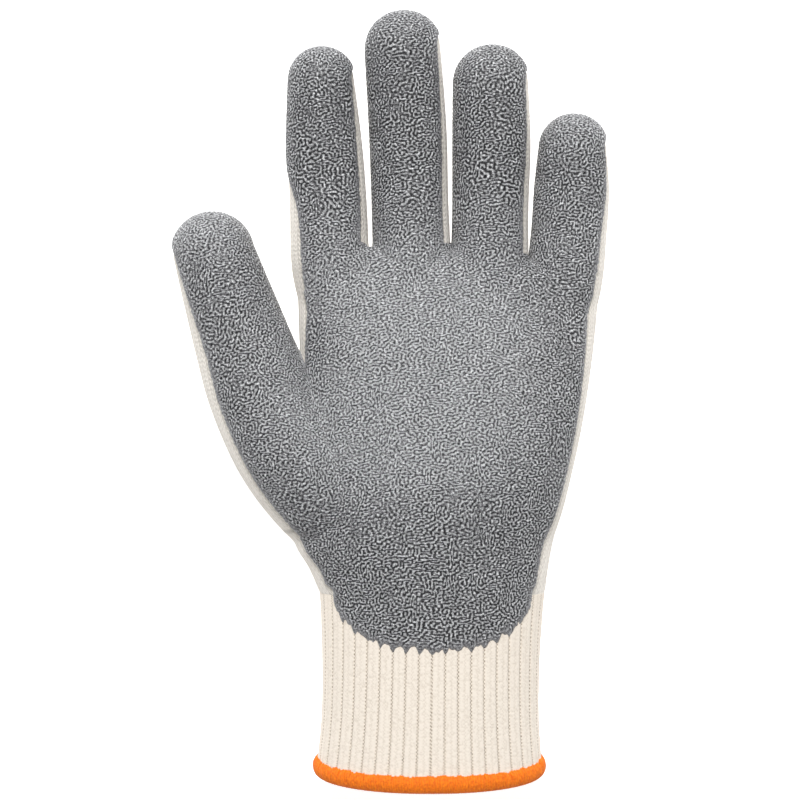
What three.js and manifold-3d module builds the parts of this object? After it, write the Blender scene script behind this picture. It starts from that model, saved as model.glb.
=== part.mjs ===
// A left-hand coated work glove, lying on its back with the palm up, in millimetres.
// +Y points to the fingertips, +Z out of the palm, the thumb is on -X, and z = 0 is the surface it lies on.
// Each knitted tube is skinned through the sections of a short table, and the rubber dip follows the same sections.

import * as THREE from 'three';
import { mergeVertices } from 'three/addons/utils/BufferGeometryUtils.js';
import Module from 'manifold-3d';

const wasm = await Module();
wasm.setup();

// Driving sizes
const knitWall = 2.0; // brushed thermal knit
const coatGap = 0.3; // clearance between the knit and the dip
const coatWall = 0.8; // thickness of the crinkled dip
const seamGap = 0.3; // clearance where two knitted tubes meet
const ribCount = 40; // ribs round the cuff
const ribDepth = 0.9; // from the crest of a rib to the groove beside it
const hemHeight = 5.2; // of the overlocked edge, along the wrist
const hemThickness = 5.0; // through the overlocked edge, from inside to outside
const webReach = 9.0; // the round end of the palm, under the webs of the fingers
const cutBack = 0.01; // of the stubs of the digits, as a part of one step of their tables

// How finely the tubes are skinned
const fingerSides = 14;
const palmSides = 28;
const mouthSides = 24; // inside the cuff
const dipSides = 8; // across the arc that the dip covers
const ringsPerRow = 2; // rings from one table row to the next
const tipRings = 3; // rings that round off an end

// A table's rows as objects with named columns.
const table = (columns, ...rows) =>
  rows.map((row) => Object.fromEntries(columns.map((column, i) => [column, row[i]])));

// A section is centred on x, y, z and turned in the plane of the palm by turn degrees. square is 2 for an ellipse
// and more for a squarer outline. The dip covers it from angle coatFrom to coatTo, in degrees from the palm's normal.
const columns = ['x', 'y', 'z', 'turn', 'halfWidth', 'halfDepth', 'square', 'coatFrom', 'coatTo'];

// Every digit runs from a root inside the palm to the section where its round tip begins.
const digits = {
  thumb: table(
    columns,
    [-10.0, -50, 15.0, 35, 12.0, 11.0, 2.1, -54, 90],
    [-22.0, -34.5, 15.6, 35, 16.6, 15.2, 2.1, -54, 100],
    [-35.0, -17, 16.0, 32, 17.2, 15.8, 2.1, -54, 100],
    [-44.7, 3, 15.6, 21, 16.7, 14.4, 2.1, -54, 102],
    [-51.0, 22, 15.4, 18, 15.6, 13.0, 2.1, -62, 105],
    [-60.0, 50.2, 16.0, 10, 13.7, 11.6, 2.1, -110, 112],
  ),
  index: table(
    columns,
    [-16.0, 18, 13.0, 3, 10.0, 9.0, 2.1, -78, 54],
    [-20.2, 43, 10.9, 3, 12.9, 12.0, 2.1, -66, 54],
    [-21.2, 66, 10.2, 2, 13.0, 11.2, 2.1, -76, 54],
    [-22.3, 88, 10.3, 2, 12.4, 10.7, 2.1, -104, 57],
    [-23.4, 109.2, 11.0, 1, 11.0, 9.8, 2.1, -118, 100],
  ),
  middle: table(
    columns,
    [8.0, 18, 13.0, 1, 10.0, 9.0, 2.1, -90, 52],
    [7.2, 43, 11.1, 1, 13.1, 12.2, 2.1, -94, 52],
    [6.4, 68, 10.4, 1, 13.1, 11.4, 2.1, -100, 54],
    [5.7, 93, 10.3, 2, 13.2, 11.0, 2.1, -106, 57],
    [4.4, 119.8, 11.2, 2, 12.7, 10.4, 2.1, -118, 100],
  ),
  ring: table(
    columns,
    [32.4, 18, 13.0, -2, 10.0, 9.0, 2.1, -90, 52],
    [33.4, 43, 10.9, -1, 12.9, 12.0, 2.1, -94, 52],
    [33.8, 66, 10.3, 0, 13.0, 11.2, 2.1, -100, 54],
    [34.2, 88, 10.3, 0, 13.3, 10.8, 2.1, -106, 58],
    [33.5, 108.3, 11.0, 1, 12.7, 10.2, 2.1, -118, 100],
  ),
  little: table(
    columns,
    [54.5, 15, 12.0, -5, 9.5, 8.0, 2.1, -90, 76],
    [58.4, 38, 10.0, -5, 12.3, 11.2, 2.1, -94, 72],
    [60.4, 58, 9.5, -3, 12.8, 10.4, 2.1, -100, 68],
    [61.2, 73, 9.5, -2, 12.6, 10.1, 2.1, -106, 70],
    [61.9, 86.4, 10.0, -1, 11.7, 9.6, 2.1, -118, 100],
  ),
};

// The palm runs from the wrist to where its round end begins, under the webs of the fingers.
const palm = table(
  columns,
  [14.0, -64, 16.8, 0, 37.8, 18.6, 2.1, -66, 62],
  [13.8, -53, 16.4, 0, 39.6, 18.6, 2.2, -68, 64],
  [15.4, -34, 15.8, 0, 43.2, 18.4, 2.3, -70, 68],
  [17.4, -8, 14.6, -1, 47.0, 17.2, 2.4, -72, 72],
  [18.7, 18, 13.0, -3, 49.6, 15.0, 2.5, -74, 72],
  [19.4, 40, 11.4, -5, 51.2, 11.8, 2.6, -76, 72],
);

// Beyond this y each finger is a tube of its own. The thumb is one beyond this place in its table.
const fingerCut = { index: 58, middle: 60.5, ring: 60.5, little: 52 };
const thumbCut = 3.35;

// The cuff, from the wrist to its rim. The palm side of a section lies lower than its middle by lean.
const cuff = table(
  ['x', 'y', 'z', 'turn', 'halfWidth', 'halfDepth', 'square', 'lean'],
  [14.0, -64 - seamGap, 16.8, 0, 37.4, 18.4, 2.1, 0],
  [13.4, -94, 18.0, 0, 36.2, 18.7, 2.1, 0.6],
  [13.0, -118.6, 19.2, 0, 37.2, 19.6, 2.1, 2.6],
);

// The lower edge of the dip, seen from above: half an ellipse hanging from the wrist.
const dipEdge = { x: 14, y: -62, halfWidth: 35.5, drop: 20.5 };

const colours = { knit: 0xe8decf, coat: 0x7d7d7e, hem: 0xf57c16 };

// The value of every column at a place between the rows, on a curve through them.
function rowAt(rows, place) {
  const last = rows.length - 1;
  const i = Math.min(Math.floor(place), last - 1);
  const t = place - i;
  const near = [-1, 0, 1, 2].map((step) => rows[THREE.MathUtils.clamp(i + step, 0, last)]);
  const row = {};
  for (const column of Object.keys(rows[0])) {
    const [a, b, c, d] = near.map((r) => r[column]);
    const startSlope = (c - a) / 2;
    const endSlope = (d - b) / 2;
    const rise = c - b;
    row[column] =
      b + t * (startSlope + t * (3 * rise - 2 * startSlope - endSlope + t * (startSlope + endSlope - 2 * rise)));
  }
  return row;
}

// The place in a table where the curve through it reaches a given y.
function placeAtY(rows, y) {
  let [low, high] = [0, rows.length - 1];
  while (high - low > 1e-4) {
    const middle = (low + high) / 2;
    if (rowAt(rows, middle).y < y) low = middle;
    else high = middle;
  }
  return low;
}

// The outline of a section, grown by offset, from one angle to another. Its underside is flat where it lies.
class Outline extends THREE.Curve {
  constructor(row, offset, from = 0, to = 360) {
    super();
    Object.assign(this, { row, offset, from, to, arcLengthDivisions: 360 });
  }

  getPoint(t, target = new THREE.Vector3()) {
    const { x, y, z, turn, halfWidth, halfDepth, square, lean = 0 } = this.row;
    const angle = THREE.MathUtils.degToRad(THREE.MathUtils.lerp(this.from, this.to, t));
    const squared = (v) => Math.sign(v) * Math.abs(v) ** (2 / square);
    const across = Math.max(halfWidth + this.offset, 0) * squared(Math.sin(angle));
    const up = Math.max(halfDepth + this.offset, 0) * squared(Math.cos(angle));
    const heading = THREE.MathUtils.degToRad(turn);
    return target.set(
      x + across * Math.cos(heading),
      y + across * Math.sin(heading) - lean * Math.cos(angle),
      Math.max(z + up, -this.offset),
    );
  }
}

const ring = (row, offset, sides) => new Outline(row, offset).getSpacedPoints(sides).slice(0, sides);

// A slice of a section like a piece of pie: its centre, then the arc that the dip covers.
function pie(row, offset, sides) {
  const { x, y, z, coatFrom, coatTo } = row;
  return [new THREE.Vector3(x, y, z), ...new Outline(row, offset, coatFrom, coatTo).getSpacedPoints(sides)];
}

// A closed solid skinned through rings with equal numbers of points, with a flat fan over each end.
function skin(rings) {
  const count = rings[0].length;
  const positions = rings.flat().flatMap((p) => [p.x, p.y, p.z]);
  const faces = [];
  for (let r = 0; r + 1 < rings.length; r++) {
    for (let k = 0; k < count; k++) {
      const [a, b] = [r * count + k, r * count + ((k + 1) % count)];
      faces.push(a, b, b + count, a, b + count, a + count);
    }
  }
  const end = (rings.length - 1) * count;
  for (let k = 1; k + 1 < count; k++) faces.push(0, k + 1, k, end, end + k, end + k + 1);
  return solid(positions, faces);
}

// A solid for booleans from positions and faces. Faces that collapse at a pole are dropped.
function solid(positions, faces) {
  const geometry = new THREE.BufferGeometry();
  geometry.setAttribute('position', new THREE.Float32BufferAttribute(positions, 3));
  geometry.setIndex(faces);
  const merged = mergeVertices(geometry, 1e-3);
  const kept = [];
  for (let i = 0; i < merged.index.count; i += 3) {
    const [a, b, c] = [0, 1, 2].map((j) => merged.index.getX(i + j));
    if (a !== b && b !== c && c !== a) kept.push(a, b, c);
  }
  const vertProperties = merged.attributes.position.array;
  const made = new wasm.Manifold(new wasm.Mesh({ numProp: 3, vertProperties, triVerts: new Uint32Array(kept) }));
  if (made.volume() >= 0) return made;
  for (let i = 0; i < kept.length; i += 3) [kept[i + 1], kept[i + 2]] = [kept[i + 2], kept[i + 1]];
  return new wasm.Manifold(new wasm.Mesh({ numProp: 3, vertProperties, triVerts: new Uint32Array(kept) }));
}

const joined = (solids) => solids.reduce((all, one) => all.add(one));

// The rows of a table from one place to another: both ends, and the regular places between them.
function rowsBetween(rows, from, to) {
  const places = [from];
  for (let i = Math.floor(from * ringsPerRow) + 1; i < to * ringsPerRow; i++) places.push(i / ringsPerRow);
  return [...places, to].map((place) => rowAt(rows, place));
}

// The rings that round off a tube beyond a row, over a length of reach, grown by offset in every direction.
function roundEnd(base, reach, offset, outline, sides) {
  const heading = THREE.MathUtils.degToRad(base.turn);
  return Array.from({ length: tipRings }, (_, i) => {
    const angle = ((i + 1) / tipRings) * (Math.PI / 2);
    const along = (reach + offset) * Math.sin(angle);
    const row = {
      ...base,
      x: base.x - along * Math.sin(heading),
      y: base.y + along * Math.cos(heading),
      halfWidth: (base.halfWidth + offset) * Math.cos(angle) - offset,
      halfDepth: (base.halfDepth + offset) * Math.cos(angle) - offset,
    };
    return outline(row, offset, sides);
  });
}

// The rings of a tube from a place in its table to its round end.
function tubeRings(rows, from, reach, offset, outline, sides) {
  const body = rowsBetween(rows, from, rows.length - 1).map((row) => outline(row, offset, sides));
  return [...body, ...roundEnd(rows.at(-1), reach, offset, outline, sides)];
}

const digitRings = (rows, from, offset, outline, sides) =>
  tubeRings(rows, from, rows.at(-1).halfWidth, offset, outline, sides);
const palmRings = (offset, outline, sides) => tubeRings(palm, 0, webReach, offset, outline, sides);

const digitCut = (name) => (name === 'thumb' ? thumbCut : placeAtY(digits[name], fingerCut[name]));

// One knitted finger: a thimble with an inner and an outer wall, joined round its open root.
function fingerTube(name) {
  const rows = digits[name];
  const outer = digitRings(rows, digitCut(name), 0, ring, fingerSides);
  const inner = digitRings(rows, digitCut(name), -knitWall, ring, fingerSides);
  return skin([...inner.reverse(), ...outer]);
}

// The stub of a finger that belongs to the palm: from inside the palm to just short of the finger's own tube.
function stub(name, offset, overshoot) {
  const rows = digits[name];
  const end = digitCut(name) + overshoot;
  return skin(rowsBetween(rows, 0, end).map((row) => ring(row, offset, fingerSides)));
}

// The knitted hand: the palm and the stubs of the digits, hollow, and open at the wrist and into every finger.
function palmTube() {
  const names = Object.keys(digits);
  const outer = joined([skin(palmRings(0, ring, palmSides)), ...names.map((name) => stub(name, 0, -cutBack))]);
  const wristward = new THREE.Vector3(0, -2 * knitWall, 0);
  const inside = palmRings(-knitWall, ring, palmSides);
  const mouth = inside[0].map((p) => p.clone().add(wristward));
  const inner = joined([skin([mouth, ...inside]), ...names.map((name) => stub(name, -knitWall, cutBack))]);
  return outer.subtract(inner);
}

// The ribbed cuff: its outer ring goes in and out between the crests of the ribs and the grooves beside them.
function ribbedCuff() {
  const ribbed = cuff.map((row) => {
    const crests = ring(row, 0, 2 * ribCount);
    const grooves = ring(row, -ribDepth, 2 * ribCount);
    return crests.map((crest, k) => (k % 2 === 0 ? crest : grooves[k]));
  });
  const inside = cuff.map((row) => ring(row, -knitWall - ribDepth / 2, mouthSides));
  const past = new THREE.Vector3(0, knitWall, 0);
  const above = inside[0].map((p) => p.clone().add(past));
  const below = inside.at(-1).map((p) => p.clone().sub(past));
  return skin(ribbed).subtract(skin([above, ...inside, below]));
}

// The overlocked edge: a fat rounded ring that butts against the rim of the cuff.
function hemRing() {
  const sides = 48;
  const corners = 6;
  const rim = cuff.at(-1);
  const middle = (hemThickness - knitWall - ribDepth) / 2 - knitWall / 2;
  const rings = Array.from({ length: corners + 1 }, (_, i) => {
    const angle = (i / corners) * 2 * Math.PI;
    const row = { ...rim, y: rim.y - seamGap - hemHeight / 2 + (hemHeight / 2) * Math.cos(angle) };
    return ring(row, middle - (hemThickness / 2) * (1 - Math.sin(angle)) + knitWall / 2, sides);
  });
  const positions = rings.slice(0, corners).flat().flatMap((p) => [p.x, p.y, Math.max(p.z, 0)]);
  const faces = [];
  for (let r = 0; r < corners; r++) {
    for (let k = 0; k < sides; k++) {
      const next = (k + 1) % sides;
      const [here, there] = [r * sides, ((r + 1) % corners) * sides];
      faces.push(here + k, here + next, there + next, here + k, there + next, there + k);
    }
  }
  return solid(positions, faces);
}

// The dip: what lies between the surfaces at coatGap and at coatGap + coatWall, over the arc that each table gives.
function coating() {
  const grown = coatGap + coatWall;
  const wrist = rowsBetween(cuff, 0, 1).map((row) => ({ ...row, y: row.y + 1, coatFrom: -66, coatTo: 62 }));
  const tubes = Object.values(digits).map((rows) => skin(digitRings(rows, 0, coatGap, ring, fingerSides)));
  tubes.push(skin(palmRings(coatGap, ring, palmSides)));
  tubes.push(skin(wrist.map((row) => ring(row, coatGap, palmSides))));
  const arcs = Object.values(digits).map((rows) => skin(digitRings(rows, 0, grown, pie, dipSides)));
  arcs.push(skin(palmRings(grown, pie, dipSides)));
  arcs.push(skin(wrist.map((row) => pie(row, grown, dipSides))));
  const pieces = joined(arcs).subtract(joined(tubes)).intersect(dipExtent()).decompose();
  return pieces.reduce((largest, piece) => (piece.volume() > largest.volume() ? piece : largest));
}

// Everything above the lower edge of the dip, as a thick plate.
function dipExtent() {
  const reach = 200;
  const shape = new THREE.Shape();
  const { x, y, halfWidth, drop } = dipEdge;
  shape.moveTo(-reach, reach);
  shape.lineTo(-reach, y);
  shape.lineTo(x - halfWidth, y);
  shape.absellipse(x, y, halfWidth, drop, Math.PI, 2 * Math.PI);
  shape.lineTo(reach, y);
  shape.lineTo(reach, reach);
  const plate = new THREE.ExtrudeGeometry(shape, { depth: reach, bevelEnabled: false, curveSegments: 20 });
  plate.translate(0, 0, -reach / 2);
  plate.deleteAttribute('normal');
  plate.deleteAttribute('uv');
  const merged = mergeVertices(plate, 1e-3);
  return solid([...merged.attributes.position.array], [...merged.index.array]);
}

function mesh(name, made, color, roughness) {
  const { numProp, vertProperties, triVerts } = made.getMesh();
  const geometry = new THREE.BufferGeometry();
  geometry.setAttribute('position', new THREE.BufferAttribute(Float32Array.from(vertProperties), numProp));
  geometry.setIndex(new THREE.BufferAttribute(triVerts, 1));
  geometry.computeVertexNormals();
  const part = new THREE.Mesh(geometry, new THREE.MeshStandardMaterial({ color, roughness, metalness: 0 }));
  part.name = name;
  return part;
}

const glove = new THREE.Group();
glove.add(mesh('knit_palm', palmTube(), colours.knit, 0.95));
for (const name of Object.keys(digits)) {
  glove.add(mesh(`knit_${name}`, fingerTube(name), colours.knit, 0.95));
}
glove.add(mesh('palm_coating', coating(), colours.coat, 0.6));
glove.add(mesh('rib_cuff', ribbedCuff(), colours.knit, 0.95));
glove.add(mesh('hem_binding', hemRing(), colours.hem, 0.9));

const box = new THREE.Box3().setFromObject(glove);
glove.position.set(-(box.min.x + box.max.x) / 2, -(box.min.y + box.max.y) / 2, -box.min.z);

export default glove;
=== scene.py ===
"""A left-hand knitted work glove with a crinkled rubber palm, lying palm up on a backlit white table."""

import math

import bpy
import numpy as np
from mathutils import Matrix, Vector


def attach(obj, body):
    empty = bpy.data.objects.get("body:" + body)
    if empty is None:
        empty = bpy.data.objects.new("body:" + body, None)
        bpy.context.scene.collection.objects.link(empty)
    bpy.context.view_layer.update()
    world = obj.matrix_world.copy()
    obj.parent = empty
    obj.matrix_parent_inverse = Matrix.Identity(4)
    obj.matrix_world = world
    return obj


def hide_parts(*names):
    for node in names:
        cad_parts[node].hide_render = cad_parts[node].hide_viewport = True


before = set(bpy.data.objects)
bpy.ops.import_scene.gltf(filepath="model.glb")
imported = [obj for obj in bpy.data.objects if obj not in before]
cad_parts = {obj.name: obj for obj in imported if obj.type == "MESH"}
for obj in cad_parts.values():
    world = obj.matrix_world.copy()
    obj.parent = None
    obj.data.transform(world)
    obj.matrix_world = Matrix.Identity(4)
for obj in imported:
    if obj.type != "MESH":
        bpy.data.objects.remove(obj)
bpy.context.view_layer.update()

MM = 0.001
rng = np.random.default_rng(11)

# Sizes, in millimetres
KNIT_WALL = 2.0  # brushed thermal knit
DIP_WALL = 0.85  # rubber over the knit
DIP_FEATHER = 1.3  # over which the edge of the rubber thins out
FOLD = 0.34  # from the grooves of the bold folds to their ridges
FINE_CRINKLE = 0.75  # from ridge to ridge of the fine crinkle between the folds
GRAIN = 0.4  # how much the folds of the rubber keep to its grain, 0 to 1
RIBS = 40  # round the cuff
RIB_GROOVE = 0.22  # depth between two ribs
STITCH_WALE = 2.3  # width of one column of stitches
STITCH_COURSE = 1.6  # height of one row of stitches
CUFF_COURSE = 1.05  # along the cuff, a little coarser than the real 0.8 so that the holes show
THREAD = 1.05  # thickness of the overlock thread, soft enough to press against the next turn
HEM_TURNS = 226
HEM_HEIGHT = 5.2
HEM_THICKNESS = 5.0

# The tables' own zero, seen from the centre of the glove's box.
TABLE_ZERO = (-0.178, -3.446)

GRID = 0.32  # mesh of the form that carries the rubber, fine enough for folds 1.1 mm apart
HAND_FACES = 64000  # triangles of the knitted hand's outside
BLEND = 1.7  # how far creases between the tubes are rounded off
FORM_GROW = 0.2  # how far the tubes stand out past their tables, which the rounding takes back

# How finely the tubes are drawn
STEPS_ROUND = 56
STEPS_PER_ROW = 8
STEPS_IN_TIP = 12
PLACES = 161  # along a table, where a point's section is looked for
COARSE = 8  # of those places, how many lie between the first ones tried
FARNESS = 0.05  # how much a section's distance counts, beside how far a point is off its plane
NO_COVER = -50.0  # well outside the rubber

# The rubber skin, in millimetres
SKIRT = 1.6  # how far it goes on past its edge, under the face of the knit
SUNK = 0.5  # how deep it lies there
EDGE_WANDER = 0.5  # how unevenly its edge runs
TAPER = (0.4, 4.0)  # from its edge, where the folds begin and where they are full
TIP_BEGINS = 9  # before the last section of a digit, where the painted highlight on the fingertip begins
SECTION_STEP = 22  # about how far apart the sections of a digit lie
EDGE_BLUR, TONE_BLUR, PATCH_BLUR, GRAIN_BLUR = 4, 40, 300, 220  # how often each is spread to its neighbours
HOLLOW = {"x": 5.5, "y": 10.5, "half_width": 44.5, "half_length": 40.5}  # the hollow of the palm

# From one tuft of the yarn's fluff to the next, in millimetres
HAND_FLUFF = 1 / 2.2
CUFF_FLUFF = 1 / 1.1
THREAD_FLUFF = 1 / 1.3

# Each row is a section: its centre, its turn in the plane of the palm, its half sizes, how square it is,
# and the angles from the palm's normal between which the rubber covers it.
SECTION = ("x", "y", "z", "turn", "half_width", "half_depth", "square", "dip_from", "dip_to")


def table(*rows):
    return {name: np.array(column, float) for name, column in zip(SECTION, zip(*rows))}


DIGITS = {
    "thumb": table(
        (-10.0, -50, 15.0, 35, 12.0, 11.0, 2.1, -50, 90),
        (-22.0, -34.5, 15.6, 35, 16.6, 15.2, 2.1, -50, 100),
        (-35.0, -17, 16.0, 32, 17.2, 15.8, 2.1, -49, 100),
        (-44.3, 3.1, 15.6, 21, 17.1, 14.4, 2.1, -49, 102),
        (-51.0, 22, 15.4, 18, 15.6, 13.0, 2.1, -48, 105),
        (-60.0, 50.2, 16.0, 10, 13.1, 11.6, 2.1, -64, 110),
    ),
    "index": table(
        (-16.0, 18, 13.0, 3, 10.0, 9.0, 2.1, -60, 52),
        (-20.2, 43, 10.9, 3, 12.9, 12.0, 2.1, -45, 53),
        (-21.2, 66, 10.2, 2, 13.0, 11.2, 2.1, -52, 56),
        (-22.3, 88, 10.3, 2, 12.4, 10.7, 2.1, -102, 58),
        (-23.3, 109.2, 11.0, 1, 10.7, 9.8, 2.1, -112, 66),
    ),
    "middle": table(
        (8.0, 18, 13.0, 1, 10.0, 9.0, 2.1, -90, 52),
        (7.8, 43, 11.1, 1, 12.5, 12.2, 2.1, -94, 52),
        (7.0, 68, 10.4, 1, 12.5, 11.4, 2.1, -100, 54),
        (6.25, 93, 10.3, 2, 12.65, 11.0, 2.1, -106, 57),
        (4.5, 119.8, 11.2, 2, 12.35, 10.4, 2.1, -112, 62),
    ),
    "ring": table(
        (32.4, 18, 13.0, -2, 10.0, 9.0, 2.1, -90, 52),
        (33.9, 43, 10.9, -1, 12.4, 12.0, 2.1, -94, 52),
        (34.35, 66, 10.3, 0, 12.4, 11.2, 2.1, -100, 54),
        (34.75, 88, 10.3, 0, 12.75, 10.8, 2.1, -106, 58),
        (34.4, 108.3, 11.0, 1, 12.25, 10.2, 2.1, -112, 62),
    ),
    "little": table(
        (54.5, 15, 12.0, -5, 9.5, 8.0, 2.1, -90, 44),
        (59.0, 38, 10.0, -5, 12.3, 11.2, 2.1, -94, 47),
        (61.2, 58, 9.5, -3, 12.3, 10.4, 2.1, -100, 52),
        (62.15, 73, 9.5, -2, 12.2, 10.1, 2.1, -106, 59),
        (62.3, 86.4, 10.0, -1, 10.9, 9.6, 2.1, -112, 64),
    ),
}
PALM = table(
    (14.0, -64, 16.8, 0, 37.8, 18.6, 2.1, -66, 62),
    (12.8, -56, 16.5, 0, 40.1, 18.6, 2.2, -62, 63),
    (11.2, -46, 16.2, 0, 43.6, 18.6, 2.2, -67, 65),
    (15.4, -34, 15.8, 0, 43.2, 18.4, 2.3, -70, 68),
    (17.4, -8, 14.6, -1, 47.0, 17.2, 2.4, -72, 69),
    (18.7, 18, 13.0, -3, 49.6, 15.0, 2.5, -70, 67),
    (19.4, 40, 11.4, -5, 51.2, 11.8, 2.6, -60, 64),
)
CUFF = table(
    (14.0, -64.3, 16.8, 0, 37.4, 18.4, 2.1, -66, 62),
    (13.6, -84, 17.6, 0, 36.3, 18.4, 2.1, -66, 62),
    (13.3, -104, 18.4, 0, 36.1, 19.0, 2.1, -66, 62),
    (13.0, -119.9, 19.2, 0, 37.2, 19.6, 2.1, -66, 62),
)
RIM_LEAN = (0.0, 0.0, 1.0, 2.6)  # how much lower the palm side of each cuff section lies than its middle
TIP_WRAP = 180.0  # how much further round the rubber goes at a fingertip, in degrees
WEB_REACH = 11.5  # the round end of the palm, under the webs of the fingers
DIP_HEM = {"x": 14.0, "y": -62.0, "half_width": 33.2, "drop": 20.4, "square": 2.4}  # the rubber's lower edge


def curve_through(column, place):
    """A column's value at a place between its rows, on a smooth curve through them."""
    place = np.asarray(place, float)
    last = len(column) - 1
    i = np.clip(np.floor(place).astype(int), 0, last - 1)
    t = place - i
    a, b, c, d = (column[np.clip(i + k, 0, last)] for k in (-1, 0, 1, 2))
    m0, m1, rise = (c - a) / 2, (d - b) / 2, c - b
    return b + t * (m0 + t * (3 * rise - 2 * m0 - m1 + t * (m0 + m1 - 2 * rise)))


def smoothstep(low, high, x):
    t = np.clip((x - low) / (high - low), 0, 1)
    return t * t * (3 - 2 * t)


def sections(rows, places):
    return {name: curve_through(column, places) for name, column in rows.items()}


def with_round_end(row, reach, steps):
    """The sections of a tube, then ever smaller ones that round it off over a length of reach."""
    angle = np.linspace(0, math.pi / 2, steps + 1)[1:]
    last = {name: value[-1] for name, value in row.items()}
    heading = math.radians(last["turn"])
    end = {name: np.full(steps, value) for name, value in last.items()}
    end["x"] = last["x"] - reach * np.sin(angle) * math.sin(heading)
    end["y"] = last["y"] + reach * np.sin(angle) * math.cos(heading)
    end["half_width"] = last["half_width"] * np.cos(angle)
    end["half_depth"] = last["half_depth"] * np.cos(angle)
    return {name: np.concatenate([row[name], end[name]]) for name in row}


def outline(row, angle, grow=0.0, lean=0.0):
    """Points of sections, at angles from the palm's normal, in the glove's frame and in metres."""
    power = 2 / row["square"]
    sine, cosine = np.sin(angle), np.cos(angle)
    across = (row["half_width"] + grow) * np.sign(sine) * np.abs(sine) ** power
    up = (row["half_depth"] + grow) * np.sign(cosine) * np.abs(cosine) ** power
    heading = np.radians(row["turn"])
    x = row["x"] + across * np.cos(heading) + TABLE_ZERO[0]
    y = row["y"] + across * np.sin(heading) - lean * cosine + TABLE_ZERO[1]
    z = np.maximum(row["z"] + up, np.maximum(-grow, 0.0))
    return np.stack([x, y, z], axis=-1) * MM


def deselect():
    if bpy.context.object and bpy.context.object.mode != "OBJECT":
        bpy.ops.object.mode_set(mode="OBJECT")
    bpy.ops.object.select_all(action="DESELECT")


def only(piece):
    deselect()
    piece.select_set(True)
    bpy.context.view_layer.objects.active = piece
    return piece


def modify(piece, kind, **settings):
    """Adds a modifier and applies it."""
    only(piece)
    bpy.ops.object.modifier_add(type=kind)
    modifier = piece.modifiers[-1]
    for name, value in settings.items():
        setattr(modifier, name, value)
    bpy.ops.object.modifier_apply(modifier=modifier.name)
    return piece


def points_of(piece):
    flat = np.empty(len(piece.data.vertices) * 3)
    piece.data.vertices.foreach_get("co", flat)
    return flat.reshape(-1, 3)


def place_points(piece, points):
    piece.data.vertices.foreach_set("co", np.ascontiguousarray(points, float).ravel())
    piece.data.update()


def normals_of(piece):
    flat = np.empty(len(piece.data.vertices) * 3)
    piece.data.vertex_normals.foreach_get("vector", flat)
    return flat.reshape(-1, 3)


def rolled_grid(name, place, across, along):
    """A flat grid rolled into a tube. place gives its points from how far round and along they are."""
    deselect()
    bpy.ops.mesh.primitive_grid_add(x_subdivisions=across, y_subdivisions=along, size=1, location=(0, 0, 0))
    piece = bpy.context.object
    piece.name = piece.data.name = name
    flat = points_of(piece)
    place_points(piece, place(flat[:, 0] + 0.5, flat[:, 1] + 0.5))
    bpy.ops.object.mode_set(mode="EDIT")
    bpy.ops.mesh.select_all(action="SELECT")
    bpy.ops.mesh.remove_doubles(threshold=1e-6)
    bpy.ops.mesh.select_all(action="DESELECT")
    bpy.ops.mesh.select_mode(type="EDGE")
    bpy.ops.mesh.select_non_manifold()
    bpy.ops.mesh.edge_face_add()
    bpy.ops.mesh.select_all(action="SELECT")
    bpy.ops.mesh.normals_make_consistent(inside=False)
    bpy.ops.mesh.select_mode(type="VERT")
    bpy.ops.object.mode_set(mode="OBJECT")
    return piece


def tube(name, rows, reach, grow):
    """A closed tube through a table's sections with a round end."""
    last = len(rows["x"]) - 1
    body = sections(rows, np.linspace(0, last, STEPS_PER_ROW * last + 1))
    whole = with_round_end(body, reach, STEPS_IN_TIP) if reach else body
    count = len(whole["x"])

    def place(round_it, along_it):
        i = np.rint(along_it * (count - 1)).astype(int)
        return outline({name: column[i] for name, column in whole.items()}, round_it * 2 * math.pi, grow)

    return rolled_grid(name, place, STEPS_ROUND, count - 1)


def glove_form(name):
    """The whole glove as one smooth closed form: its tubes run together and the creases rounded off."""
    tubes = [tube(f"{name}_{digit}", rows, rows["half_width"][-1], FORM_GROW)
             for digit, rows in DIGITS.items()]
    tubes.append(tube(f"{name}_palm", PALM, WEB_REACH, FORM_GROW))
    wrist_first = {key: np.insert(CUFF[key], 0, PALM[key][1]) for key in SECTION}
    tubes.append(tube(f"{name}_cuff", wrist_first, 0, FORM_GROW))
    deselect()
    for one in tubes:
        one.select_set(True)
    form = bpy.context.view_layer.objects.active = tubes[0]
    bpy.ops.object.join()
    form.name = form.data.name = name
    modify(form, "REMESH", mode="VOXEL", voxel_size=GRID * MM, adaptivity=0.0)
    modify(form, "SMOOTH", factor=0.5, iterations=round(4 * (BLEND / GRID) ** 2))
    return form


def place_along(rows, points):
    """For points in table millimetres: the place in a table whose section they lie in or nearest to."""
    places = np.linspace(0, len(rows["x"]) - 1, PLACES)
    line = sections(rows, places)
    sine, cosine = np.sin(np.radians(line["turn"])), np.cos(np.radians(line["turn"]))
    nearest = np.zeros(len(points), int)
    # First among the coarse places, then among those round the best of them.
    for tries in (np.arange(0, PLACES, COARSE), np.arange(1 - COARSE, COARSE)):
        first = nearest.copy()
        best = np.full(len(points), np.inf)
        for one in tries:
            i = np.clip(first + one, 0, PLACES - 1)
            dx, dy = points[:, 0] - line["x"][i], points[:, 1] - line["y"][i]
            distance = (dy * cosine[i] - dx * sine[i]) ** 2 + FARNESS * (dx ** 2 + dy ** 2)
            closer = distance < best
            best[closer], nearest[closer] = distance[closer], i[closer]
    heading = np.radians(line["turn"][nearest])
    offset = points[:, :2] - np.stack([line["x"][nearest], line["y"][nearest]], axis=-1)
    across = offset[:, 0] * np.cos(heading) + offset[:, 1] * np.sin(heading)
    beyond = -offset[:, 0] * np.sin(heading) + offset[:, 1] * np.cos(heading)
    return places[nearest], {name: column[nearest] for name, column in line.items()}, across, beyond


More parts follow.
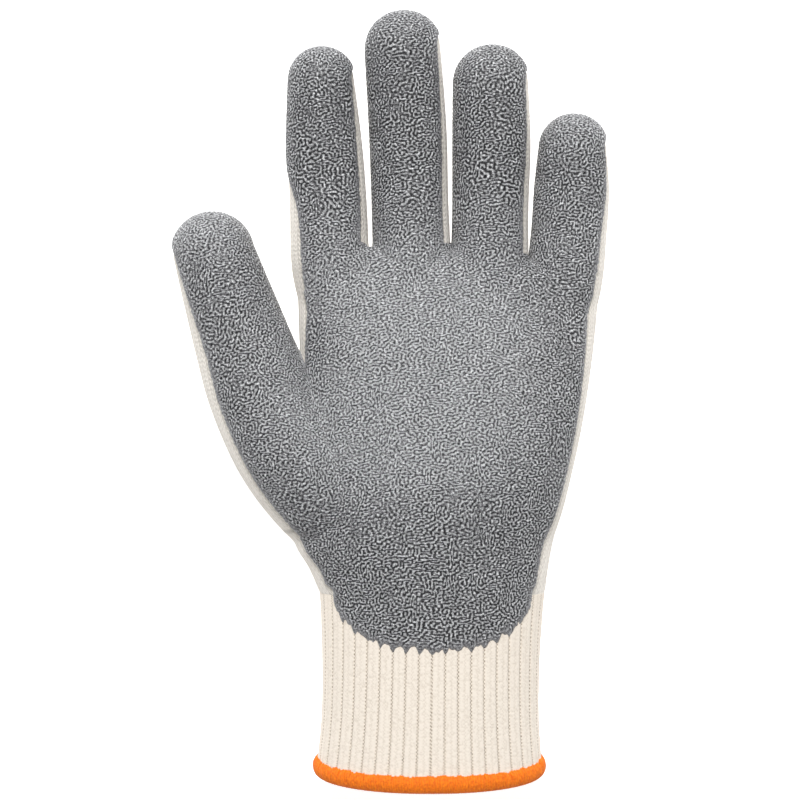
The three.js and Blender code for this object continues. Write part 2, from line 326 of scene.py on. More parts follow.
def on_tube(rows, points, reach, wrap=0.0):
    """Where points lie on a tube: the angle from the palm's normal, how far outside its surface they are and
    how far inside the rubber's edges, in millimetres. Over the tip the rubber goes wrap degrees further."""
    place, row, across, beyond = place_along(rows, points)
    up = points[:, 2] - row["z"]
    ahead = np.maximum(beyond, 0) * (place >= len(rows["x"]) - 1.01)
    width, depth = row["half_width"], row["half_depth"]
    radius = ((np.abs(across) / width) ** row["square"] + (np.abs(up) / depth) ** row["square"]
              + (ahead / max(reach, 1e-3)) ** row["square"]) ** (1 / row["square"])
    outside = (radius - 1) * np.minimum(width, depth)
    behind = np.maximum(-beyond, 0) * (place <= 0.01)
    angle = np.arctan2(np.sign(across) * np.abs(across / width) ** (row["square"] / 2),
                       np.sign(up) * np.abs(up / depth) ** (row["square"] / 2))
    further = wrap * (ahead / max(reach, 1e-3)) ** 2
    middle = np.radians(row["dip_from"] + row["dip_to"]) / 2
    half = np.radians(row["dip_to"] - row["dip_from"] + 2 * further) / 2
    inside = half - np.abs((angle - middle + math.pi) % (2 * math.pi) - math.pi)
    # A step in angle is worth less across a section near its flat sides.
    worth = np.sqrt((width * np.cos(angle)) ** 2 + (depth * np.sin(angle)) ** 2)
    inside = inside * np.minimum(worth, (width + depth) / 2) - behind
    return {"angle": angle, "outside": outside + behind, "inside": inside, "place": place, "ahead": ahead}


def table_points(points):
    return points / MM - np.array([TABLE_ZERO[0], TABLE_ZERO[1], 0.0])


# Angles round the middle of the cuff, and the share of its girth that lies before each.
GIRTH_STEPS = 721
GIRTH_ANGLE = np.linspace(0, 2 * math.pi, GIRTH_STEPS)
girth = outline(sections(CUFF, np.full(GIRTH_STEPS, 1.5)), GIRTH_ANGLE)
GIRTH_SHARE = np.concatenate([[0], np.cumsum(np.linalg.norm(np.diff(girth, axis=0), axis=1))])
GIRTH_SHARE /= GIRTH_SHARE[-1]
RIB_FAN = 0.075  # how much closer the ribs of the palm side lie at the hand than at the rim, in radians
RIB_FAN_AT_DIP = 0.06  # the same under the rubber's lower edge


def rib_angle(round_it, along_it):
    """The angle of a place round the cuff: the ribs are evenly spaced and fan out towards the rim."""
    angle = np.interp(round_it, GIRTH_SHARE, GIRTH_ANGLE)
    return angle - RIB_FAN * (1 - along_it) * np.sin(angle)


RIB_ARCH = rng.uniform(0.9, 2.3, RIBS)  # how far the rubber's edge climbs over each rib, in millimetres
TEETH = rng.uniform(-0.7, 0.9, 200)  # and how far its small teeth reach up or down
TOOTH_PITCH = 0.8  # from tooth to tooth


def dip_hem_inside(local):
    """How far points lie inside the rubber's lower edge, which climbs over each rib."""
    cuff = on_tube(CUFF, local, 0.0)
    angle = (cuff["angle"] + RIB_FAN_AT_DIP * np.sin(cuff["angle"])) % (2 * math.pi)
    rib = np.interp(angle, GIRTH_ANGLE, GIRTH_SHARE) * RIBS
    arch = RIB_ARCH[rib.astype(int) % RIBS]
    climb = arch * (0.75 * np.sin(math.pi * rib) ** 2 + 0.45 * np.sin(2 * math.pi * rib) ** 2)
    climb += np.interp((local[:, 0] / TOOTH_PITCH) % (len(TEETH) - 1), np.arange(len(TEETH)), TEETH)
    climb *= smoothstep(-66, -74, local[:, 1])
    below = np.maximum(DIP_HEM["y"] - local[:, 1] + climb, 0) / DIP_HEM["drop"]
    wider = 1.5 * np.maximum(local[:, 1] - DIP_HEM["y"], 0)
    aside = np.abs(local[:, 0] - DIP_HEM["x"]) / (DIP_HEM["half_width"] + wider)
    power = DIP_HEM["square"]
    radius = np.maximum((aside ** power + below ** power) ** (1 / power), 1e-6)
    steep_x = (aside / radius) ** (power - 1) / DIP_HEM["half_width"]
    steep_y = (below / radius) ** (power - 1) / DIP_HEM["drop"]
    return (1 - radius) / np.maximum(np.hypot(steep_x, steep_y), 1 / 60)


def dip_cover(points):
    """How far points lie inside the edge of the rubber, in millimetres: negative where the knit is bare."""
    local = table_points(points)
    cover = np.full(len(local), NO_COVER)
    to_cuff = {key: np.concatenate([CUFF[key][::-1], PALM[key]]) for key in SECTION}
    tubes = [(rows, rows["half_width"][-1], TIP_WRAP) for rows in DIGITS.values()]
    for rows, reach, wrap in [*tubes, (to_cuff, WEB_REACH, 0.0)]:
        on = on_tube(rows, local, reach, wrap)
        near = np.clip(1.2 - on["outside"] / 2.5, 0, 1)
        cover = np.maximum(cover, np.where(near > 0, on["inside"] * near - 12 * (1 - near), NO_COVER))
    return np.minimum(cover, dip_hem_inside(local))


def tone_with_painted_light(local, ahead):
    """How pale and finely crinkled the rubber is, with painted light and shade in it: palest over the hollow
    of the palm, with a painted highlight at the fingertips, and least along the middle of the fingers,
    painted darker there as the shade of their deep folds. It is painted darker towards the heel as shade, and
    in the web of the thumb as its shadow."""
    x, y = local[:, 0], local[:, 1]
    away = ((np.abs(x - HOLLOW["x"]) / HOLLOW["half_width"]) ** 2.5
            + (np.abs(y - HOLLOW["y"]) / HOLLOW["half_length"]) ** 2.5) ** (1 / 2.5)
    hollow = 1 - smoothstep(0.72, 1.3, away)
    # Painted shade: darker towards the heel, which slopes away from the light.
    rest = 0.42 - 0.14 * smoothstep(-20, -45, y)
    # Painted shade of the deep folds: darker along the middle of the fingers.
    fingers = smoothstep(54, 84, y) * smoothstep(-42, -32, x) * (1 - 0.5 * smoothstep(44, 54, x))
    # Painted shadow in the web between the thumb and the index finger.
    painted_web_shadow = np.exp(-((x + 26) / 7) ** 2 - ((y - 19) / 13) ** 2)
    # The fingertips get a painted highlight, then the whole is clipped.
    return np.clip(rest + (1 - rest) * hollow - 0.4 * fingers - 0.75 * painted_web_shadow + 0.75 * ahead, -0.3, 1)


def neighbours(piece):
    """The links from each point to its neighbours, and how much they weigh together."""
    pairs = np.empty(len(piece.data.edges) * 2, int)
    piece.data.edges.foreach_get("vertices", pairs)
    first, second = pairs.reshape(-1, 2).T
    ends, others = np.concatenate([first, second]), np.concatenate([second, first])
    total = np.bincount(ends, minlength=len(piece.data.vertices))
    return ends, others, np.ones(len(ends)), np.maximum(total, 1)


def with_grain(links, local, turn):
    """The same links, heavier along a grain that lies at an angle of turn across the palm."""
    ends, others = links[:2]
    step = local[others] - local[ends]
    weight = 1 + GRAIN * np.cos(2 * (np.arctan2(step[:, 1], step[:, 0]) - turn[ends]))
    return ends, others, weight, np.maximum(np.bincount(ends, weight, len(local)), 0.1)


def spread(values, links, times):
    ends, others, weight, total = links
    for _ in range(times):
        values = (values + np.bincount(ends, values[others] * weight, len(total)) / total) / 2
    return values


def folds(links, keep, drop, rounds):
    """A maze of ridges and grooves: noise that is cleared of what is finer and coarser, over and over."""
    values = rng.standard_normal(len(links[3]))
    for _ in range(rounds):
        fine = spread(values, links, keep)
        values = fine - spread(fine, links, drop)
        values = np.tanh(1.6 * values / values.std())
    return values


def store(piece, name, values):
    attribute = piece.data.attributes.new(name, "FLOAT", "POINT")
    attribute.data.foreach_set("value", np.ascontiguousarray(values, np.float32))


def delete_selected(piece, chosen, kind):
    """Deletes the chosen vertices or faces."""
    only(piece)
    bpy.ops.object.mode_set(mode="EDIT")
    bpy.ops.mesh.select_mode(type=kind)
    bpy.ops.mesh.select_all(action="DESELECT")
    bpy.ops.object.mode_set(mode="OBJECT")
    (piece.data.vertices if kind == "VERT" else piece.data.polygons).foreach_set("select", chosen)
    bpy.ops.object.mode_set(mode="EDIT")
    bpy.ops.mesh.delete(type=kind)
    bpy.ops.object.mode_set(mode="OBJECT")


# Both the knit and the rubber are shaped from one form.
hand = glove_form("knitted_hand")
only(hand)
bpy.ops.object.duplicate()
dip = bpy.context.object

# The rubber dip, raised over the knit and folded all over.
delete_selected(dip, dip_cover(points_of(dip)) < -SKIRT, "VERT")
links = neighbours(dip)
base, normals = points_of(dip), normals_of(dip)
local = table_points(base)
cover = spread(dip_cover(base) + EDGE_WANDER * rng.standard_normal(len(base)), links, EDGE_BLUR)
# Where the fingertips get their painted highlight, as the tops of the tips face the light.
painted_tip_highlight = np.zeros(len(local))
for rows in DIGITS.values():
    on = on_tube(rows, local, rows["half_width"][-1])
    short = (len(rows["x"]) - 1 - on["place"]) * SECTION_STEP
    reach = (on["ahead"] - short + TIP_BEGINS) / (rows["half_width"][-1] + TIP_BEGINS)
    painted_tip_highlight = np.maximum(painted_tip_highlight, np.where(on["outside"] < 2, reach, 0))
tone = spread(tone_with_painted_light(local, np.clip(painted_tip_highlight, 0, 1)), links, TONE_BLUR)
patchy = spread(rng.standard_normal(len(base)), links, PATCH_BLUR)
patchy /= patchy.std()
turn = spread(rng.standard_normal(len(base)), links, GRAIN_BLUR)
grain = with_grain(links, local, 0.7 * turn / turn.std())
# Bold folds where the rubber is dark, in patches and least towards the heel, and finer ones elsewhere
bold = np.clip(1.3 - 1.2 * tone, 0, 1) * smoothstep(-0.4, 1.6, patchy) * smoothstep(-75, -20, local[:, 1])
maze = bold * folds(grain, 3, 6, 9) + (1 - bold) * (0.75 + 0.25 * (1 - tone)) * folds(grain, 2, 4, 9)
maze *= smoothstep(*TAPER, cover)
rise = -SUNK + (DIP_WALL + SUNK) * smoothstep(-0.6, DIP_FEATHER, cover)
# On the cuff the skin is sunk deeper, below its grooves.
rise -= 0.45 * smoothstep(-66, -72, local[:, 1]) * smoothstep(0.6, -SKIRT, cover)
lift = rise + FOLD / 2 * maze
place_points(dip, base + normals * (lift * MM)[:, None])
store(dip, "cover", cover)
store(dip, "tone", tone)
# The folds again, for the painted highlights on their ridges and painted shade in their grooves.
store(dip, "fold_shade_and_highlight", maze)
store(dip, "place", np.arange(len(base)))
only(dip)
bpy.ops.object.shade_smooth()


def piece_of_dip(name, faces):
    """A piece with some of the dip's faces, shaded as one with the rest of it."""
    only(dip)
    bpy.ops.object.duplicate()
    piece = bpy.context.object
    piece.name = piece.data.name = name
    delete_selected(piece, ~faces, "FACE")
    place = np.empty(len(piece.data.vertices), np.float32)
    piece.data.attributes["place"].data.foreach_get("value", place)
    piece.data.normals_split_custom_set_from_vertices(dip_normals[place.astype(int)])
    piece.data.attributes.remove(piece.data.attributes["place"])
    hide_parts("palm_coating")
    return piece


dip_normals = normals_of(dip)
centres = np.empty(len(dip.data.polygons) * 3)
dip.data.polygons.foreach_get("center", centres)
centres = table_points(centres.reshape(-1, 3))
thumb_on = on_tube(DIGITS["thumb"], centres, DIGITS["thumb"]["half_width"][-1])
palm_on = on_tube(PALM, centres, WEB_REACH)
in_thumb = thumb_on["outside"] < np.minimum(palm_on["outside"], 2.5)
in_fingers = ~in_thumb & (centres[:, 1] > 51)
in_heel = ~in_thumb & (centres[:, 1] < -20)
rubber = [piece_of_dip("rubber_index_middle", in_fingers & (centres[:, 0] < 20)),
          piece_of_dip("rubber_ring_little", in_fingers & (centres[:, 0] >= 20)),
          piece_of_dip("rubber_thumb", in_thumb), piece_of_dip("rubber_heel", in_heel),
          piece_of_dip("rubber_palm", ~(in_fingers | in_thumb | in_heel))]
bpy.data.objects.remove(dip)

# The knitted hand
only(hand)
wrist = (PALM["y"][0] + TABLE_ZERO[1]) * MM
bpy.ops.object.mode_set(mode="EDIT")
bpy.ops.mesh.select_all(action="SELECT")
bpy.ops.mesh.bisect(plane_co=(0, wrist, 0), plane_no=(0, 1, 0), clear_inner=True)
bpy.ops.object.mode_set(mode="OBJECT")
modify(hand, "DECIMATE", ratio=HAND_FACES / (2 * len(hand.data.polygons)))


ARC_STEPS, ARC_STATIONS = 180, 8  # how finely a tube is measured, round it and along it


def arc_round(rows, place, angle):
    """The distance round a section from the middle of its back, in millimetres."""
    last = len(rows["x"]) - 1
    fine = np.linspace(0, math.pi, ARC_STEPS + 1)
    stations = np.linspace(0, last, ARC_STATIONS + 1)
    arcs = []
    for one in stations:
        row = sections(rows, np.array([one]))
        power = 2 / row["square"][0]
        x = row["half_width"][0] * np.sin(fine) ** power
        z = row["half_depth"][0] * np.sign(np.cos(fine)) * np.abs(np.cos(fine)) ** power
        z = np.maximum(z, -row["z"][0])
        arcs.append(np.concatenate([[0], np.cumsum(np.hypot(np.diff(x), np.diff(z)))]))
    arcs = np.array(arcs)
    column = np.clip(np.abs(angle) / math.pi * ARC_STEPS, 0, ARC_STEPS - 0.001)
    line = np.clip(place / last * ARC_STATIONS, 0, ARC_STATIONS - 0.001)
    i, j = line.astype(int), column.astype(int)
    s, t = line - i, column - j
    there = ((1 - s) * ((1 - t) * arcs[i, j] + t * arcs[i, j + 1])
             + s * ((1 - t) * arcs[i + 1, j] + t * arcs[i + 1, j + 1]))
    whole = (1 - s) * arcs[i, -1] + s * arcs[i + 1, -1]
    return np.sign(angle) * (whole - there)


def length_along(rows):
    """The distance along a table's centre line at each of its places, in millimetres."""
    places = np.linspace(0, len(rows["x"]) - 1, PLACES)
    line = sections(rows, places)
    steps = np.hypot(np.diff(line["x"]), np.diff(line["y"]))
    return places, np.concatenate([[0], np.cumsum(steps)])


def knit_grain(piece):
    """Two coordinates in millimetres for the stitches: across their columns and along them."""
    local = table_points(points_of(piece))
    wale, course = np.zeros(len(local)), np.zeros(len(local))
    closest = np.full(len(local), np.inf)
    for name, rows in [("palm", PALM), *DIGITS.items()]:
        on = on_tube(rows, local, WEB_REACH if name == "palm" else rows["half_width"][-1])
        places, lengths = length_along(rows)
        along = np.interp(on["place"], places, lengths) + on["ahead"] + rows["y"][0]
        arc = arc_round(rows, on["place"], on["angle"]) + rows["x"][-1 if name == "palm" else 1]
        outside = np.abs(on["outside"]) + (np.where(local[:, 1] > 44, 1e6, 0) if name == "palm" else 1.6)
        better = outside < closest
        wale, course = np.where(better, arc, wale), np.where(better, along, course)
        closest = np.where(better, outside, closest)
    return wale, course


modify(hand, "SOLIDIFY", thickness=KNIT_WALL * MM, offset=-1, use_rim=True)
wale, course = knit_grain(hand)
store(hand, "wale", wale)
store(hand, "course", course)
store(hand, "off_edge", np.abs(dip_cover(points_of(hand))))
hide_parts("knit_palm", "knit_thumb", "knit_index", "knit_middle", "knit_ring", "knit_little")

# The ribbed cuff
ROWS_OUT, ROWS_IN = 78, 8
CUFF_TUCK = -0.05  # how far the cuff goes on inside the hand, as a share of its length
RIB_CROWN = 0.16  # how much a rib stands up between its grooves
RIB_MIDDLE = 0.1  # depth of the fainter line down its middle
LINE_SHARE = 0.07  # width of a groove or line, as a share of a rib
# Where the mesh lies across one rib, from groove to groove: closer together beside the groove.
RIB_STEPS = np.array([0.0, 0.045, 0.1, 0.19, 0.33, 0.5, 0.67, 0.81, 0.9, 0.955])


def cuff_surface(round_it, along_it, grow):
    """Points on the cuff: along_it is 0 at the hand and 1 at the rim."""
    place = along_it * (len(CUFF["x"]) - 1)
    lean = curve_through(np.array(RIM_LEAN), place)
    return outline(sections(CUFF, place), rib_angle(round_it, along_it), grow, lean)


def cuff_place(round_it, along_it):
    step = np.rint(along_it * (ROWS_OUT + ROWS_IN))
    outer = step <= ROWS_OUT
    along = np.where(outer, step / ROWS_OUT, 1 - (step - ROWS_OUT) / ROWS_IN)
    along = CUFF_TUCK + (1 - CUFF_TUCK) * along
    across = np.rint(round_it * RIBS * len(RIB_STEPS)).astype(int)
    phase = RIB_STEPS[across % len(RIB_STEPS)]
    groove = np.exp(-(np.minimum(phase, 1 - phase) / LINE_SHARE) ** 2)
    crown = 1 - np.abs(2 * phase - 1) ** 2.2
    middle = np.exp(-((phase - 0.5) / LINE_SHARE) ** 2)
    height = (RIB_CROWN * crown - RIB_GROOVE * groove - RIB_MIDDLE * middle) * smoothstep(0.03, 0.2, along)
    # The outside is level with the hand where they meet, and dips under the hand's edge.
    height += 0.22 + 0.17 * smoothstep(0.15, 0, along) - 0.9 * smoothstep(0.2, 1, along / CUFF_TUCK)
    grow = np.where(outer, height, -KNIT_WALL - 0.3)
    return cuff_surface((across // len(RIB_STEPS) + phase) / RIBS, along, grow)


cuff = rolled_grid("ribbed_cuff", cuff_place, RIBS * len(RIB_STEPS), ROWS_OUT + ROWS_IN)
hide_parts("rib_cuff")

# The overlocked edge: one thread wound round the rim, turn beside turn, each a little uneven.
PER_TURN = 16
RIB_RIPPLE, LOOSE_RIPPLE, SLOW_RIPPLE = 0.1, 0.14, 0.09
HEM_OVERLAP = 0.9  # how far the thread reaches up over the end of the cuff
steps = HEM_TURNS * PER_TURN
turn = np.arange(steps) / PER_TURN
wind = 2 * math.pi * turn
loose = np.interp(turn, np.arange(HEM_TURNS + 1), np.append(rng.standard_normal(HEM_TURNS), 0.0))
slow = np.sin(turn * 0.37) + np.sin(turn * 0.113 + 1)
ripple = RIB_RIPPLE * np.cos(2 * math.pi * turn / HEM_TURNS * RIBS)
ripple = ripple + LOOSE_RIPPLE * loose + SLOW_RIPPLE * slow
ripple *= np.cos(wind) > 0
across = HEM_THICKNESS / 2 * np.sign(np.sin(wind)) * np.abs(np.sin(wind)) ** 0.75
down = HEM_HEIGHT / 2 * np.cos(wind) + ripple
rim = cuff_surface(turn / HEM_TURNS, np.ones(steps), -KNIT_WALL / 2 - 0.1 + across)
rim[:, 1] += (down - HEM_HEIGHT / 2 + HEM_OVERLAP) * MM
rim[:, 2] = np.maximum(rim[:, 2], THREAD / 2 * MM)
curve = bpy.data.curves.new("overlock_thread", "CURVE")
curve.dimensions = "3D"
curve.bevel_depth = THREAD / 2 * MM
curve.bevel_resolution = 1
line = curve.splines.new("POLY")
line.points.add(steps - 1)
line.points.foreach_set("co", np.concatenate([rim, np.ones((steps, 1))], axis=1).ravel())
line.use_cyclic_u = True
hem = bpy.data.objects.new("overlock_thread", curve)
bpy.context.collection.objects.link(hem)
only(hem)
bpy.ops.object.convert(target="MESH")
hem = bpy.context.object
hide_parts("hem_binding")


def linear(code):
    """An sRGB hex colour as linear values."""
    parts = [int(code[i:i + 2], 16) / 255 for i in (0, 2, 4)]
    return (*[p / 12.92 if p <= 0.04045 else ((p + 0.055) / 1.055) ** 2.4 for p in parts], 1.0)


def node(tree, kind, sockets=(), stops=(), **settings):
    """Adds a node. Its sockets are given values or other nodes' outputs, and a ramp its coloured stops."""
    made = tree.nodes.new(kind)
    for name, value in settings.items():
        setattr(made, name, value)
    for key, value in dict(sockets).items():
        if isinstance(value, bpy.types.NodeSocket):
            tree.links.new(value, made.inputs[key])
        else:
            made.inputs[key].default_value = value
    for i, (position, colour) in enumerate(stops):
        element = made.color_ramp.elements[i] if i < 2 else made.color_ramp.elements.new(position)
        element.position, element.color = position, linear(colour)
    return made


def new_material(name, *pieces):
    material = bpy.data.materials.new(name)
    material.use_nodes = True
    for piece in pieces:
        piece.data.materials.append(material)
    return material.node_tree, material.node_tree.nodes["Principled BSDF"]


MATH = "ShaderNodeMath"

# Natural latex, foamed and wrinkled while wet: a matt grey skin of worm-like folds, with painted highlights
# on their ridges and painted shade in their grooves. They are finest over the hollow of the palm and fade out
# along the edge.
tree, shader = new_material("crinkled_latex", *rubber)
spot = node(tree, "ShaderNodeTexCoord").outputs["Object"]
tone_at = node(tree, "ShaderNodeAttribute", attribute_name="tone").outputs["Fac"]
cover_at = node(tree, "ShaderNodeAttribute", attribute_name="cover").outputs["Fac"]
fold_shade_and_highlight = node(tree, "ShaderNodeAttribute", attribute_name="fold_shade_and_highlight").outputs["Fac"]
# The fine crinkle bumps the surface and also paints its relief into the colour, as painted shade and
# highlight.
fine = node(tree, "ShaderNodeTexNoise", {"Vector": spot, "Scale": 1.7 / (FINE_CRINKLE * MM), "Detail": 0.0,
                                         "Distortion": 1.0}).outputs["Fac"]
fine = node(tree, "ShaderNodeMapRange", {0: fine, 1: 0.36, 2: 0.64, 3: -0.5, 4: 0.5},
            interpolation_type="SMOOTHSTEP").outputs[0]
edge = node(tree, "ShaderNodeMapRange", {0: cover_at, 1: 0.3, 2: 4.5, 3: 0.5, 4: 1.0}).outputs[0]
fine = node(tree, MATH, {0: fine, 1: edge}, operation="MULTIPLY").outputs[0]
# Tone, fine crinkle and folds add up to one shade, painted light and shade included. Where the skin thins out
# at its edge, it is paler: partly the cream knit showing through, partly painted light against the shade on
# the edge's slope.
base_tone = node(tree, MATH, {0: tone_at, 1: 0.26, 2: 0.395}, operation="MULTIPLY_ADD").outputs[0]
shade = node(tree, MATH, {0: fine, 1: 0.45, 2: base_tone}, operation="MULTIPLY_ADD").outputs[0]
# The folds' painted highlight on the ridges and painted shade in the grooves.
shade = node(tree, MATH, {0: fold_shade_and_highlight, 1: 0.52, 2: shade}, operation="MULTIPLY_ADD").outputs[0]
thin_edge_and_painted_light = node(tree, "ShaderNodeMapRange", {0: cover_at, 1: 0.2, 2: 2.2, 3: 0.12, 4: 0.0}).outputs[0]
shade = node(tree, MATH, {0: shade, 1: thin_edge_and_painted_light}, operation="ADD").outputs[0]
colour = node(tree, "ShaderNodeValToRGB", {0: shade}, stops=(
    (0.0, "1c1c1e"), (1.0, "e4e5e7"), (0.25, "4e4f51"), (0.5, "807f82"), (0.75, "b2b3b5"))).outputs[0]
tree.links.new(colour, shader.inputs["Base Color"])
shader.inputs["Roughness"].default_value = 0.45
bump = node(tree, "ShaderNodeBump", {"Height": fine, "Distance": 0.0004, "Strength": 1.0}).outputs[0]
tree.links.new(bump, shader.inputs["Normal"])

# Brushed acrylic and cotton, knitted plain: cream yarn in columns of V-shaped stitches under a soft bloom.
tree, shader = new_material("cream_brushed_knit", hand)
across = node(tree, "ShaderNodeAttribute", attribute_name="wale").outputs["Fac"]
along = node(tree, "ShaderNodeAttribute", attribute_name="course").outputs["Fac"]
# Each column has two slanting legs, which make a row of Vs.
column = node(tree, MATH, {0: across, 1: STITCH_WALE}, operation="DIVIDE").outputs[0]
column = node(tree, MATH, {0: column}, operation="FRACT").outputs[0]
column = node(tree, MATH, {0: column, 1: 0.5}, operation="SUBTRACT").outputs[0]
side = node(tree, MATH, {0: column}, operation="ABSOLUTE").outputs[0]
row = node(tree, MATH, {0: along, 1: STITCH_COURSE}, operation="DIVIDE").outputs[0]
leg = node(tree, MATH, {0: side, 1: -1.5, 2: row}, operation="MULTIPLY_ADD").outputs[0]
leg = node(tree, MATH, {0: leg, 1: 2 * math.pi}, operation="MULTIPLY").outputs[0]
yarn = node(tree, MATH, {0: leg}, operation="SINE").outputs[0]
yarn = node(tree, MATH, {0: yarn, 1: 0.35, 2: 0.65}, operation="MULTIPLY_ADD").outputs[0]
outer = node(tree, MATH, {0: side, 1: 2.0}, operation="MULTIPLY").outputs[0]
outer = node(tree, MATH, {0: outer, 1: 3.0}, operation="POWER").outputs[0]
outer = node(tree, MATH, {0: 1.0, 1: outer}, operation="SUBTRACT").outputs[0]
centre = node(tree, MATH, {0: side, 1: 5.0, 2: 0.4}, operation="MULTIPLY_ADD", use_clamp=True).outputs[0]
stitch = node(tree, MATH, {0: yarn, 1: outer}, operation="MULTIPLY").outputs[0]
stitch = node(tree, MATH, {0: stitch, 1: centre}, operation="MULTIPLY").outputs[0]
spot = node(tree, "ShaderNodeTexCoord").outputs["Object"]
fuzz = node(tree, "ShaderNodeTexNoise",
            {"Vector": spot, "Scale": 1 / (HAND_FLUFF * MM), "Detail": 3.0}).outputs["Fac"]
# The yarn is painted a little darker along the rubber's edge: a painted shadow where the raised rubber shades
# the knit.
off_edge = node(tree, "ShaderNodeAttribute", attribute_name="off_edge").outputs["Fac"]
painted_edge_shadow = node(tree, "ShaderNodeMapRange", {0: off_edge, 1: 0.2, 2: 2.6, 3: 0.0, 4: 0.3}).outputs[0]
tint = node(tree, MATH, {0: stitch, 1: 0.7, 2: painted_edge_shadow}, operation="MULTIPLY_ADD").outputs[0]
colour = node(tree, "ShaderNodeValToRGB", {0: tint}, stops=(
    (0.0, "c2bcb3"), (1.0, "f3eee6"), (0.3, "d8d2c9"), (0.55, "ede7de"))).outputs[0]
tree.links.new(colour, shader.inputs["Base Color"])
shader.inputs["Roughness"].default_value = 0.95
shader.inputs["Sheen Weight"].default_value = 0.15
height = node(tree, MATH, {0: fuzz, 1: 0.4, 2: stitch}, operation="MULTIPLY_ADD").outputs[0]
bump = node(tree, "ShaderNodeBump", {"Height": height, "Distance": 0.0004, "Strength": 0.7}).outputs[0]
tree.links.new(bump, shader.inputs["Normal"])

# The same yarn in a rib, held tight by elastic: flat ribs with small stitch holes beside each groove and a
# fainter row down the middle of each rib, the holes painted dark as the shade inside them.
tree, shader = new_material("cream_rib_knit", cuff)
uv = node(tree, "ShaderNodeUVMap", uv_map=cuff.data.uv_layers[0].name).outputs["UV"]
apart = node(tree, "ShaderNodeSeparateXYZ", {0: uv})
rib = node(tree, MATH, {0: apart.outputs["X"], 1: float(RIBS)}, operation="MULTIPLY").outputs[0]
phase = node(tree, MATH, {0: rib}, operation="FRACT").outputs[0]
phase = node(tree, MATH, {0: phase, 1: 0.5}, operation="SUBTRACT").outputs[0]
aside = node(tree, MATH, {0: phase}, operation="ABSOLUTE").outputs[0]
groove = node(tree, "ShaderNodeMapRange", {0: aside, 1: 0.29, 2: 0.42, 3: 0.0, 4: 1.0}).outputs[0]
middle = node(tree, "ShaderNodeMapRange", {0: aside, 1: 0.08, 2: 0.0, 3: 0.0, 4: 0.25}).outputs[0]
lines = node(tree, MATH, {0: groove, 1: middle}, operation="ADD").outputs[0]
# The holes on both sides of a groove are staggered, and so are those of one rib and the next.
rib_number = node(tree, MATH, {0: rib, 1: 0.25}, operation="ADD").outputs[0]
rib_number = node(tree, MATH, {0: rib_number}, operation="FLOOR").outputs[0]
length = float(CUFF["y"][0] - CUFF["y"][-1]) * (1 - CUFF_TUCK) * (ROWS_OUT + ROWS_IN) / ROWS_OUT
course = node(tree, MATH, {0: apart.outputs["Y"], 1: length / CUFF_COURSE}, operation="MULTIPLY").outputs[0]
course = node(tree, MATH, {0: rib_number, 1: 0.37, 2: course}, operation="MULTIPLY_ADD").outputs[0]
flank = node(tree, MATH, {0: phase}, operation="SIGN").outputs[0]
course = node(tree, MATH, {0: flank, 1: 0.25, 2: course}, operation="MULTIPLY_ADD").outputs[0]
course = node(tree, MATH, {0: course, 1: 2 * math.pi}, operation="MULTIPLY").outputs[0]
dots = node(tree, MATH, {0: course}, operation="SINE").outputs[0]
dots = node(tree, MATH, {0: dots, 1: 0.6, 2: 0.45}, operation="MULTIPLY_ADD").outputs[0]
spot = node(tree, "ShaderNodeTexCoord").outputs["Object"]
fuzz = node(tree, "ShaderNodeTexNoise",
            {"Vector": spot, "Scale": 1 / (CUFF_FLUFF * MM), "Detail": 3.0}).outputs["Fac"]
uneven = node(tree, MATH, {0: fuzz, 1: 2.2, 2: -0.5}, operation="MULTIPLY_ADD", use_clamp=True).outputs[0]
# Painted shade in the stitch holes, with random darker flecks of the yarn added below.
hole_shade_and_fleck = node(tree, MATH, {0: lines, 1: dots}, operation="MULTIPLY").outputs[0]
hole_shade_and_fleck = node(tree, MATH, {0: hole_shade_and_fleck, 1: uneven}, operation="MULTIPLY").outputs[0]
fleck = node(tree, "ShaderNodeMapRange", {0: fuzz, 1: 0.5, 2: 0.32, 3: 0.0, 4: 0.14}).outputs[0]
hole_shade_and_fleck = node(tree, MATH, {0: hole_shade_and_fleck, 1: fleck}, operation="ADD").outputs[0]
colour = node(tree, "ShaderNodeValToRGB", {0: hole_shade_and_fleck}, stops=(
    (0.0, "eee4d7"), (1.0, "7d7060"), (0.3, "d0c4b4"))).outputs[0]
tree.links.new(colour, shader.inputs["Base Color"])
shader.inputs["Roughness"].default_value = 0.95
shader.inputs["Sheen Weight"].default_value = 0.15
height = node(tree, MATH, {0: hole_shade_and_fleck, 1: -1.2, 2: fuzz}, operation="MULTIPLY_ADD").outputs[0]
bump = node(tree, "ShaderNodeBump", {"Height": height, "Distance": 0.0003, "Strength": 0.6}).outputs[0]
tree.links.new(bump, shader.inputs["Normal"])

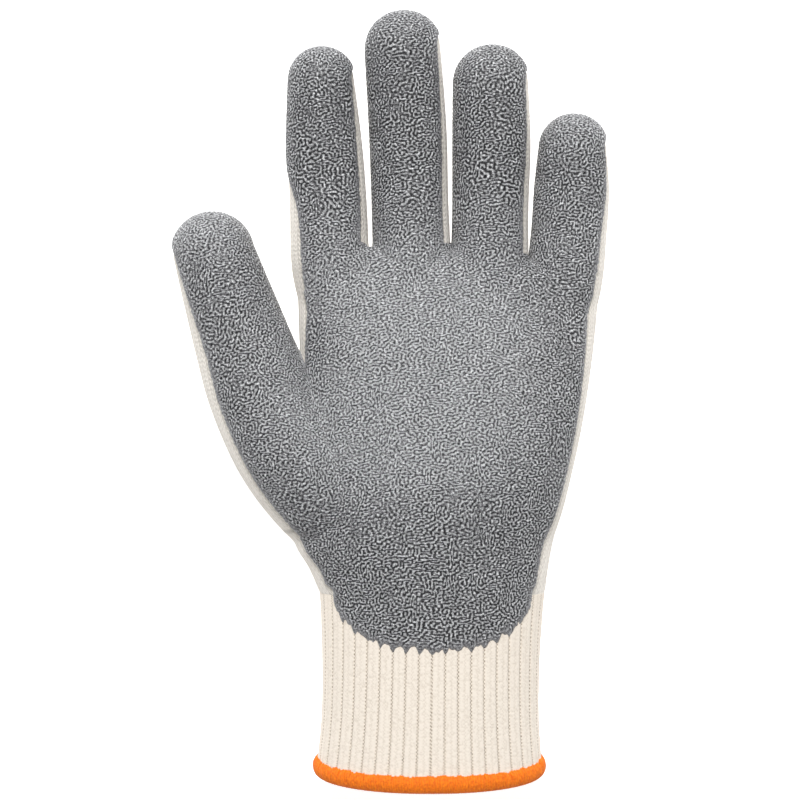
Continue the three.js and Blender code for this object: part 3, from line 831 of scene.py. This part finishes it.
# Textured polyester overlock thread: bright orange, soft and slightly fluffy.
tree, shader = new_material("orange_overlock_thread", hem)
spot = node(tree, "ShaderNodeTexCoord").outputs["Object"]
fluff = node(tree, "ShaderNodeTexNoise",
             {"Vector": spot, "Scale": 1 / (THREAD_FLUFF * MM), "Detail": 3.0}).outputs["Fac"]
colour = node(tree, "ShaderNodeValToRGB", {0: fluff}, stops=((0.25, "dc6000"), (0.75, "ff8b06"))).outputs[0]
tree.links.new(colour, shader.inputs["Base Color"])
shader.inputs["Roughness"].default_value = 0.8
bump = node(tree, "ShaderNodeBump", {"Height": fluff, "Distance": 0.0003, "Strength": 0.5}).outputs[0]
tree.links.new(bump, shader.inputs["Normal"])

for piece in (hand, cuff, hem):
    only(piece)
    bpy.ops.object.shade_smooth_by_angle(angle=math.radians(60))
for piece in (*rubber, hand, cuff, hem):
    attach(piece, "root")

# Opal white acrylic, lit from below as on a product table, so that hardly a shadow falls on it.
deselect()
bpy.ops.mesh.primitive_plane_add(size=8.0, location=(0, 0, 0))
floor = bpy.context.object
floor.name = "studio_table"
tree, shader = new_material("opal_acrylic_table", floor)
shader.inputs["Base Color"].default_value = linear("f8f8f8")
shader.inputs["Roughness"].default_value = 0.9
shader.inputs["Emission Color"].default_value = linear("ffffff")
shader.inputs["Emission Strength"].default_value = 0.7


def softbox(name, location, size, power):
    light = bpy.data.lights.new(name, "AREA")
    light.shape = "SQUARE"
    light.size = size
    light.energy = power
    holder = bpy.data.objects.new(name, light)
    holder.location = location
    holder.rotation_euler = Vector(location).to_track_quat("Z", "Y").to_euler()
    bpy.context.collection.objects.link(holder)


softbox("key_softbox", (-0.08, 0.9, 1.25), 0.5, 24)
softbox("fill_softbox", (0.9, -0.7, 1.2), 1.2, 2)
bpy.context.scene.view_settings.view_transform = "Standard"
world = bpy.data.worlds.new("studio")
world.use_nodes = True
world.node_tree.nodes["Background"].inputs[0].default_value = (1, 1, 1, 1)
world.node_tree.nodes["Background"].inputs[1].default_value = 0.3
bpy.context.scene.world = world

# The photograph is taken from straight above. The view's width is that at the glove's middle height.
DISTANCE = 0.575
MIDDLE_HEIGHT = 0.014
VIEW_WIDTH = 0.2707
FRAME_CENTRE = (0.0030, -0.0029)
camera = bpy.data.cameras.new("camera")
camera.sensor_width = 36
camera.lens = 36 * DISTANCE / VIEW_WIDTH
eye = bpy.data.objects.new("camera", camera)
eye.location = (*FRAME_CENTRE, MIDDLE_HEIGHT + DISTANCE)
bpy.context.collection.objects.link(eye)
bpy.context.scene.camera = eye
